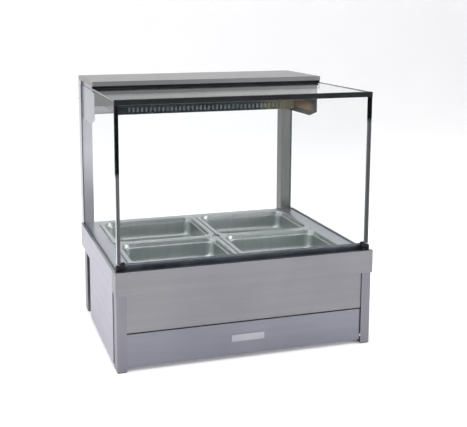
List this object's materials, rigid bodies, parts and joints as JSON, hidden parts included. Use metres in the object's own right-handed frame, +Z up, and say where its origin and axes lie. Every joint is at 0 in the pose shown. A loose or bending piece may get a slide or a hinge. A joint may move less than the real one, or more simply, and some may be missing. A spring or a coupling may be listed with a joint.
{
  "type": "hot food display case",
  "caption": "Countertop hot food display case: stainless heated base with lift-out pans, tilting front glass, side and top glass, lamp canopy.",
  "frame": {"origin": "centre of the footprint on the surface the feet stand on", "axes": "+Z up, customer side towards -Y, operator side towards +Y, +X to the customer's right"},
  "size_m": [0.765, 0.65, 0.77],
  "materials": {
    "stainless": "fine brushed stainless sheet",
    "stainless_bright": "satin pressed stainless",
    "cover_grey": "brushed",
    "reflector_bright": "bright",
    "glass_clear": "toughened, polished edges",
    "black_trim": "satin black",
    "dark_profile": "satin dark grey",
    "nylon": "moulded",
    "plated_steel": "bright plated",
    "element_sheath": "heat-darkened sheath",
    "lamp_quartz": "quartz",
    "lamp_block_white": "heat-resistant moulding",
    "brass": "turned",
    "knob_black": "moulded",
    "rocker_red": "moulded",
    "rocker_green": "moulded",
    "lamp_amber": "translucent",
    "badge_silver": "blank satin plate"
  },
  "bodies": {
    "case": {"front_skirt": "stainless", "side_panel_left": "stainless", "side_panel_right": "stainless", "deck_plate": "stainless", "rear_skirt": "stainless", "pan_bar_long": "stainless", "pan_bar_front": "stainless", "pan_bar_rear": "stainless", "well_tank": "stainless", "heating_element_front": "element_sheath", "heating_element_rear": "element_sheath", "element_supports": "stainless", "front_upper_panel": "stainless", "lower_front_panel": "stainless", "badge_plate": "badge_silver", "leg_front_left": "stainless", "leg_front_right": "stainless", "leg_rear_left": "stainless", "leg_rear_right": "stainless", "feet": "nylon", "bottom_tray": "stainless", "rear_body_shell": "stainless", "thermostat_body": "nylon", "thermostat_dial": "badge_silver", "heat_switch_housing": "black_trim", "lamp_switch_housing": "black_trim", "indicator_lamp": "lamp_amber", "cable_gland": "nylon", "rear_post_left": "stainless", "rear_post_right": "stainless", "side_glass_left": "glass_clear", "side_glass_right": "glass_clear", "pivot_brackets": "black_trim", "glass_ledge": "dark_profile", "top_glass": "glass_clear", "rear_glass_channel": "black_trim", "canopy_cover": "cover_grey", "canopy_front": "stainless", "canopy_end_left": "stainless", "canopy_end_right": "stainless", "canopy_rear": "stainless", "reflector": "reflector_bright", "lamp_tube_front": "lamp_quartz", "lamp_tube_rear": "lamp_quartz", "lamp_holders": "lamp_block_white", "lamp_guard": "plated_steel", "canopy_screws": "plated_steel"},
    "front_glass_door": {"front_glass": "glass_clear", "front_glass_top_trim": "black_trim", "front_glass_side_trims": "black_trim", "pivot_clamps": "black_trim"},
    "thermostat_control": {"thermostat_spindle": "brass", "thermostat_knob": "knob_black"},
    "heat_rocker": {"heat_switch_rocker": "rocker_red"},
    "lamp_rocker": {"lamp_switch_rocker": "rocker_green"},
    "pan_fl": {"pan_front_left": "stainless_bright"},
    "pan_fr": {"pan_front_right": "stainless_bright"},
    "pan_rl": {"pan_rear_left": "stainless_bright"},
    "pan_rr": {"pan_rear_right": "stainless_bright"}
  },
  "joints": [
    {"name": "front_glass_tilt", "type": "hinge", "parent": "case", "child": "front_glass_door", "pos_m": [0, -0.306, 0.296], "axis": [1, 0, 0], "range_deg": [0, 35]},
    {"name": "thermostat_turn", "type": "hinge", "parent": "case", "child": "thermostat_control", "pos_m": [0.23, 0.247, 0.12], "axis": [0, -1, 0], "range_deg": [0, 270]},
    {"name": "heat_switch_rock", "type": "hinge", "parent": "case", "child": "heat_rocker", "pos_m": [0.13, 0.244, 0.12], "axis": [1, 0, 0], "range_deg": [0, 16]},
    {"name": "lamp_switch_rock", "type": "hinge", "parent": "case", "child": "lamp_rocker", "pos_m": [0.08, 0.244, 0.12], "axis": [1, 0, 0], "range_deg": [0, 16]},
    {"name": "pan_fl_lift", "type": "slide", "parent": "case", "child": "pan_fl", "axis": [0, 0, 1], "range_m": [0, 0.15]},
    {"name": "pan_fr_lift", "type": "slide", "parent": "case", "child": "pan_fr", "axis": [0, 0, 1], "range_m": [0, 0.15]},
    {"name": "pan_rl_lift", "type": "slide", "parent": "case", "child": "pan_rl", "axis": [0, 0, 1], "range_m": [0, 0.15]},
    {"name": "pan_rr_lift", "type": "slide", "parent": "case", "child": "pan_rr", "axis": [0, 0, 1], "range_m": [0, 0.15]}
  ]
}
